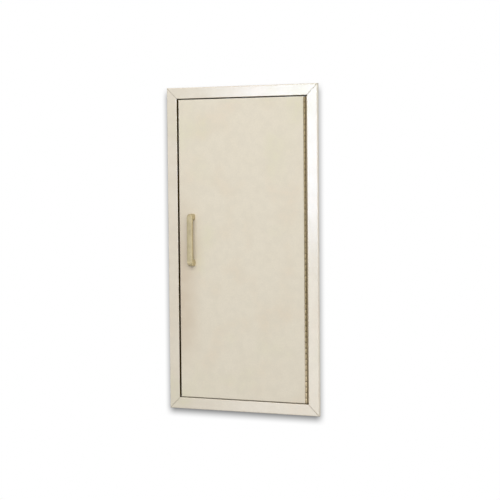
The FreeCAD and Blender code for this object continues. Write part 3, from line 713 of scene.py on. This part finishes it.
# Wall and floor: plain pale surfaces, not part of the cabinet. The wall is open where the tub
# goes in, shows white and only from the room, and carries the trim's soft shadow, set a little low.
def sheet_of(name, corners, faces):
    """Flat backdrop of straight-edged faces."""
    mesh = bpy.data.meshes.new(name)
    mesh.from_pydata(corners, [], faces)
    piece = bpy.data.objects.new(name, mesh)
    bpy.context.scene.collection.objects.link(piece)
    piece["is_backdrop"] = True
    return piece


WALL_SET_BACK = 0.001
WALL_REACH = 6.0
FLOOR_Z = -1.0
HOLE_X = 0.1655
HOLE_MARGIN = 0.0014
hole_low, hole_high = trim_low.z + FACE_WIDTH - HOLE_MARGIN, trim_high.z - FACE_WIDTH + HOLE_MARGIN
columns = (-WALL_REACH, -HOLE_X, HOLE_X, WALL_REACH)
rows = (FLOOR_Z, hole_low, hole_high, WALL_REACH)
grid = [(x, WALL_SET_BACK, z) for z in rows for x in columns]
squares = [(4 * j + i, 4 * j + i + 1, 4 * j + i + 5, 4 * j + i + 4)
           for j in range(3) for i in range(3) if (i, j) != (1, 1)]
wall = sheet_of("wall_backdrop", grid, squares)
floor = sheet_of("pale_floor", [(-WALL_REACH, -WALL_REACH, FLOOR_Z), (WALL_REACH, -WALL_REACH, FLOOR_Z),
                                (WALL_REACH, WALL_REACH, FLOOR_Z), (-WALL_REACH, WALL_REACH, FLOOR_Z)],
                 [(0, 1, 2, 3)])
for flag in ("visible_diffuse", "visible_glossy", "visible_transmission", "visible_shadow"):
    setattr(wall, flag, False)
floor.visible_diffuse = False

SHADOW_DEPTH = 0.86
SHADOW_SOFTNESS = 0.015
SHADOW_DROP = 0.0098
SHADOW_TO_LEFT = 0.0045
wall_white, tree, plaster, where = finish_of("wall_white")
plaster.inputs["Base Color"].default_value = (0.0, 0.0, 0.0, 1)
plaster.inputs["Roughness"].default_value = 1.0
plaster.inputs["Specular IOR Level"].default_value = 0.0
plaster.inputs["Emission Color"].default_value = (1, 1, 1, 1)
split = node(tree, "ShaderNodeSeparateXYZ", {0: where})
shadow = SHADOW_DEPTH
for axis, start, end in ((0, trim_low.x - SHADOW_TO_LEFT, -trim_low.x),
                         (2, trim_low.z - SHADOW_DROP, trim_high.z - SHADOW_DROP)):
    off_middle = away(tree, split.outputs[axis], (start + end) / 2)
    half_span = (end - start) / 2
    shadow = product(tree, shadow,
                     ramp(tree, off_middle, half_span + SHADOW_SOFTNESS, half_span - SHADOW_SOFTNESS))
seen = node(tree, "ShaderNodeLightPath").outputs["Is Camera Ray"]
tree.links.new(product(tree, seen, maths(tree, "SUBTRACT", 1.0, shadow)),
               plaster.inputs["Emission Strength"])
behind = node(tree, "ShaderNodeNewGeometry").outputs["Backfacing"]
see_through = node(tree, "ShaderNodeBsdfTransparent")
one_sided = node(tree, "ShaderNodeMixShader", {0: behind, 1: plaster.outputs[0], 2: see_through.outputs[0]})
tree.links.new(one_sided.outputs[0], tree.nodes["Material Output"].inputs["Surface"])
wear(wall, wall_white)

FLOOR_TONES, FLOOR_PATCH, FLOOR_ROUGHNESS = ((0.86, 0.86, 0.855), (0.88, 0.88, 0.875)), 0.4, 0.9
floor_white, tree, shader, where = finish_of("floor_pale")
tree.links.new(blend(tree, cloud(tree, where, FLOOR_PATCH), *FLOOR_TONES), shader.inputs["Base Color"])
shader.inputs["Roughness"].default_value = FLOOR_ROUGHNESS
wear(floor, floor_white)


# Light: a pale room all round, a broad lamp from the right front, a panel in front and above, a
# soft box and a reflector whose mirror images lie on the trim's right side, and a weak back light.
ROOM_LIGHT = 0.40
MORE_FROM_ABOVE = 0.4
world = bpy.data.worlds.new("pale_room")
bpy.context.scene.world = world
world.use_nodes = True
tree = world.node_tree
ambient = tree.nodes["Background"]
ambient.inputs["Color"].default_value = (1, 1, 1, 1)
direction = node(tree, "ShaderNodeSeparateXYZ", {0: node(tree, "ShaderNodeTexCoord").outputs["Generated"]})
sky = node(tree, "ShaderNodeMath", {0: direction.outputs[2], 1: ROOM_LIGHT * MORE_FROM_ABOVE, 2: ROOM_LIGHT},
           operation="MULTIPLY_ADD")
tree.links.new(sky.outputs[0], ambient.inputs["Strength"])
seen_white = node(tree, "ShaderNodeBackground", {0: (1, 1, 1, 1), 1: 1.0})
rays = node(tree, "ShaderNodeLightPath").outputs
seen = maths(tree, "MAXIMUM", rays["Is Camera Ray"],
             maths(tree, "MAXIMUM", rays["Is Glossy Ray"], rays["Is Transmission Ray"]))
mixed = node(tree, "ShaderNodeMixShader", {0: seen, 1: ambient.outputs[0], 2: seen_white.outputs[0]})
tree.links.new(mixed.outputs[0], tree.nodes["World Output"].inputs["Surface"])

middle = Vector((0.0, 0.0, (trim_low.z + trim_high.z) / 2))


def lamp(name, kind, place, power, **settings):
    """Lamp at a place, turned to the middle of the cabinet."""
    data = bpy.data.lights.new(name, kind)
    data.energy = power
    for key, value in settings.items():
        setattr(data, key, value)
    made = bpy.data.objects.new(name, data)
    made.location = place
    made.rotation_euler = (middle - Vector(place)).to_track_quat("-Z", "Y").to_euler()
    bpy.context.scene.collection.objects.link(made)
    return made


def light_panel(name, place, size, radiance, **settings):
    """Rectangular lamp, whose power is its radiance times pi times its area."""
    return lamp(name, "AREA", place, radiance * math.pi * size[0] * size[1],
                shape="RECTANGLE", size=size[0], size_y=size[1], **settings)


FRONT_STRENGTH, FRONT_SOFTNESS = 1.2, math.radians(50)
BACK_STRENGTH, BACK_SOFTNESS = 0.6, math.radians(40)
PANEL_SIZE, PANEL_RADIANCE = (1.8, 1.2), 4.6
MIRRORED_SIZE = (0.95, 0.95)
SOFT_BOX_RADIANCE, SOFT_BOX_TINT = 9.0, (0.84, 1.0, 1.29)
REFLECTOR_RADIANCE, REFLECTOR_TINT = 3.1, (0.92, 1.0, 1.10)
lamp("front_light", "SUN", (1.9, -2.8, 1.4), FRONT_STRENGTH, angle=FRONT_SOFTNESS)
light_panel("ceiling_panel", (0.3, -2.4, 2.0), PANEL_SIZE, PANEL_RADIANCE)
soft_box = light_panel("soft_box", (-0.91, -3.15, 0.72), MIRRORED_SIZE, SOFT_BOX_RADIANCE,
                       color=SOFT_BOX_TINT)
reflector = light_panel("reflector", (-0.94, -3.15, -0.32), MIRRORED_SIZE, REFLECTOR_RADIANCE,
                        color=REFLECTOR_TINT)
soft_box.visible_diffuse = False
reflector.visible_diffuse = False
lamp("back_light", "SUN", (1.5, 3.0, 2.5), BACK_STRENGTH, angle=BACK_SOFTNESS)


# Camera: stands to the right of the door, level with its upper half, and looks slightly down.
# Its three turns, its distance and its long lens were fitted to the outlines in the photograph.
TURN_RIGHT = math.radians(23.36)
TIP_DOWN = math.radians(-3.01)
ROLL = math.radians(-0.5)
STAND_OFF = (0.0192, -0.00044, 3.4373)
FOCAL_LENGTH, SENSOR_WIDTH = 106.15, 36.0
turn = (Matrix.Rotation(math.pi / 2, 3, "X") @ Matrix.Rotation(TURN_RIGHT, 3, "Y")
        @ Matrix.Rotation(TIP_DOWN, 3, "X") @ Matrix.Rotation(ROLL, 3, "Z"))
lens = bpy.data.cameras.new("camera")
lens.lens, lens.sensor_width = FOCAL_LENGTH, SENSOR_WIDTH
camera = bpy.data.objects.new("camera", lens)
camera.location = Vector((0.0, trim_low.y, middle.z)) + turn @ Vector(STAND_OFF)
camera.rotation_euler = turn.to_euler()
bpy.context.scene.collection.objects.link(camera)
bpy.context.scene.camera = camera
bpy.context.scene.view_settings.view_transform = "Standard"

low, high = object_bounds()
